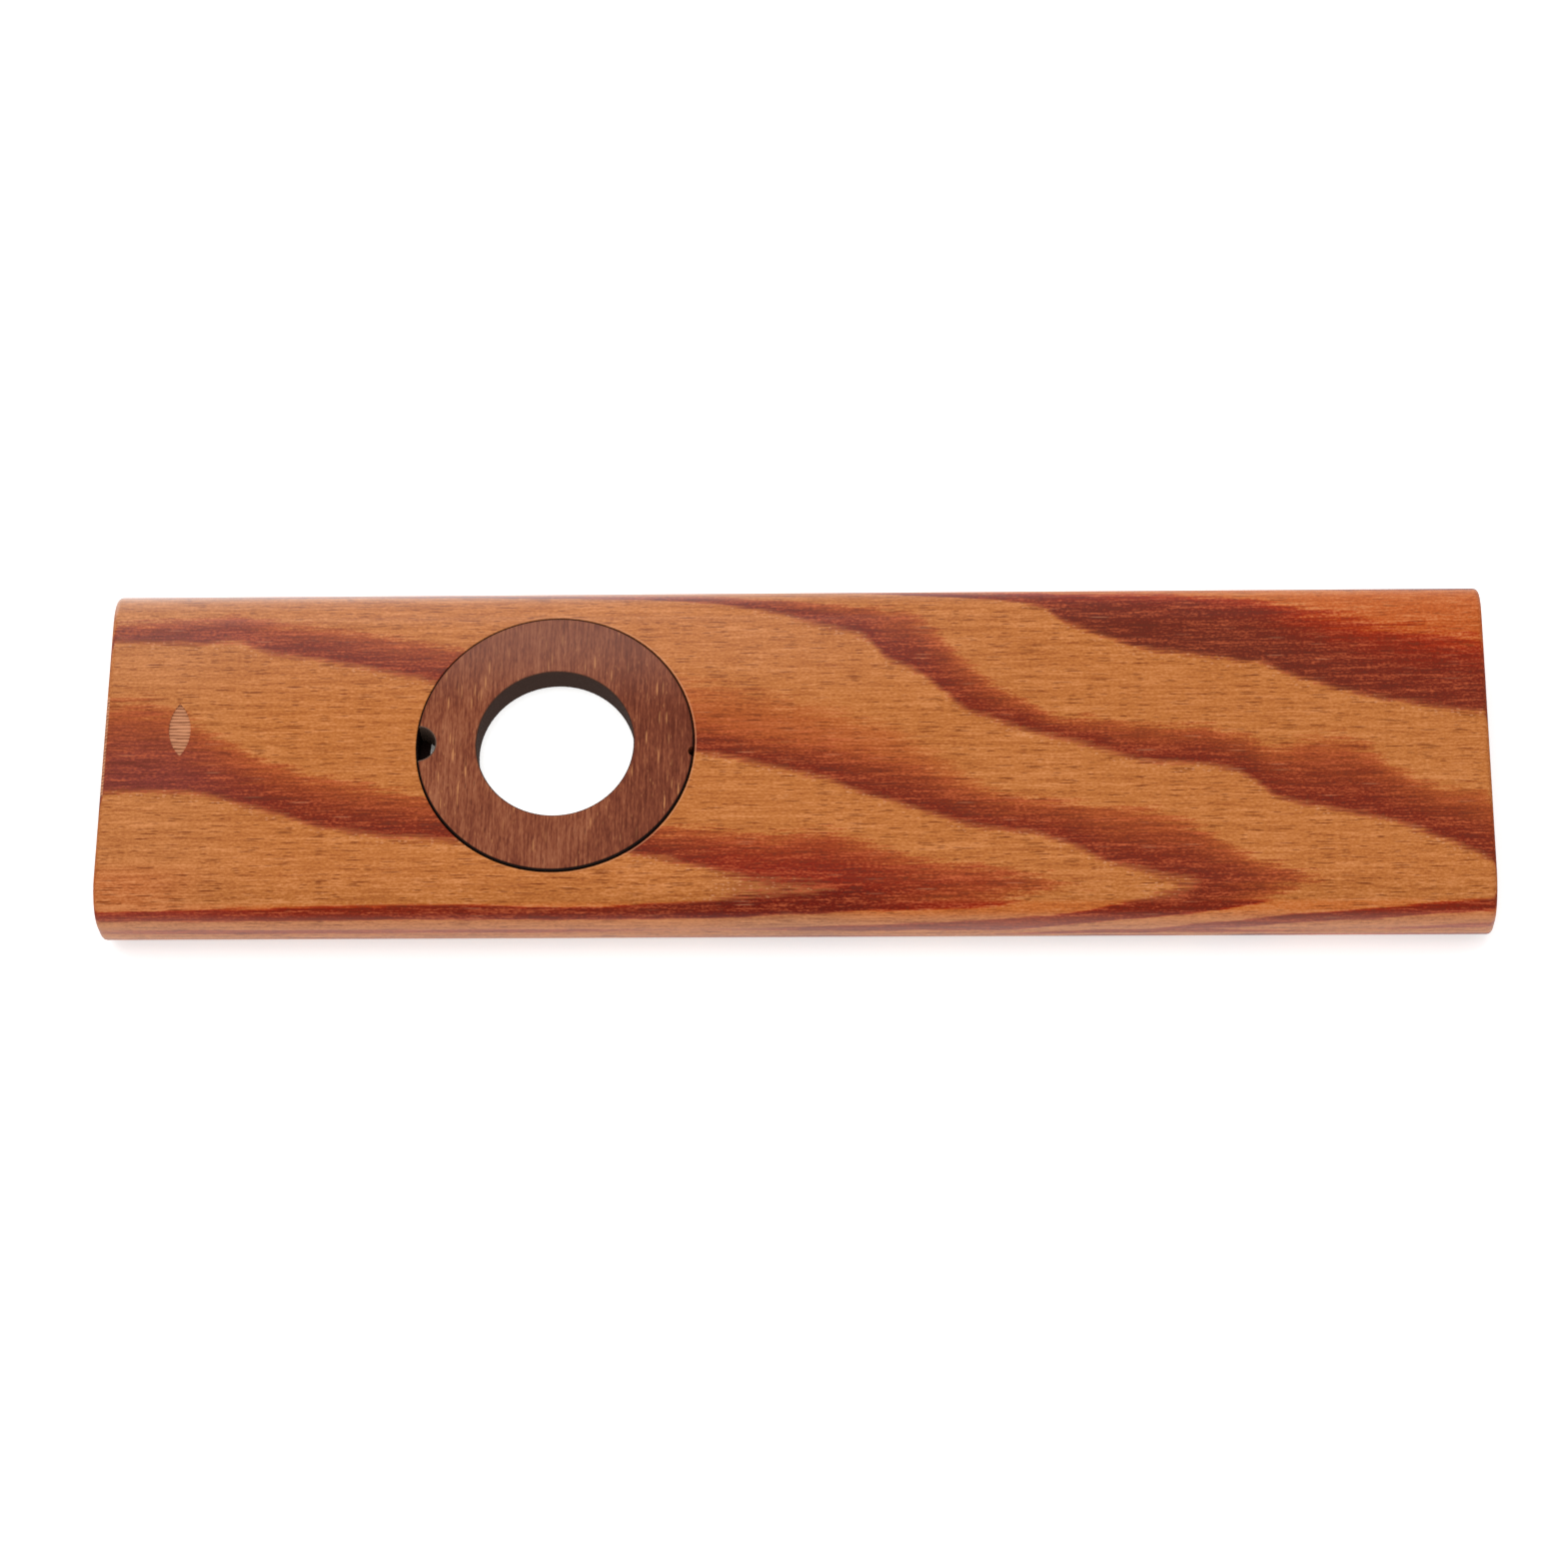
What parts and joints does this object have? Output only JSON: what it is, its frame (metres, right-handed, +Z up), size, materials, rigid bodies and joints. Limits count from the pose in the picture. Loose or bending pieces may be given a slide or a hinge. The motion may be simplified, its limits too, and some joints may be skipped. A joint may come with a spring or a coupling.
{
  "type": "kazoo",
  "caption": "Flat wooden kazoo: a rounded wooden bar with an air channel along it, and a pressed-in wooden ring that holds a buzzing film over a round window.",
  "frame": {"origin": "under the middle of the bar, on the surface that it lies on", "axes": "+X along the bar from the mouth end to the far end, +Y across the bar, +Z up out of the ring"},
  "size_m": [0.125, 0.033, 0.0092],
  "materials": {
    "bar_wood": "smooth sanded and oiled, bold red-brown growth rings on orange-tan wood",
    "sole_wood": "smooth sanded and oiled, same timber as the bar",
    "film": "thin milky film",
    "ring_wood": "sanded dark reddish-brown wood, grain across the bar"
  },
  "bodies": {
    "bar": {"body_block": "bar_wood", "sole_plate": "sole_wood"},
    "ring": {"clamp_ring": "ring_wood"},
    "film": {"membrane": "film"}
  },
  "joints": [
    {"name": "ring_lift", "type": "slide", "parent": "bar", "child": "ring", "axis": [0, 0, 1], "range_m": [0, 0.016]},
    {"name": "film_lift", "type": "slide", "parent": "bar", "child": "film", "axis": [0, 0, 1], "range_m": [0, 0.008]}
  ],
  "couplings": [
    {"joint": "film_lift", "follows": "ring_lift", "ratio": 0.5}
  ]
}
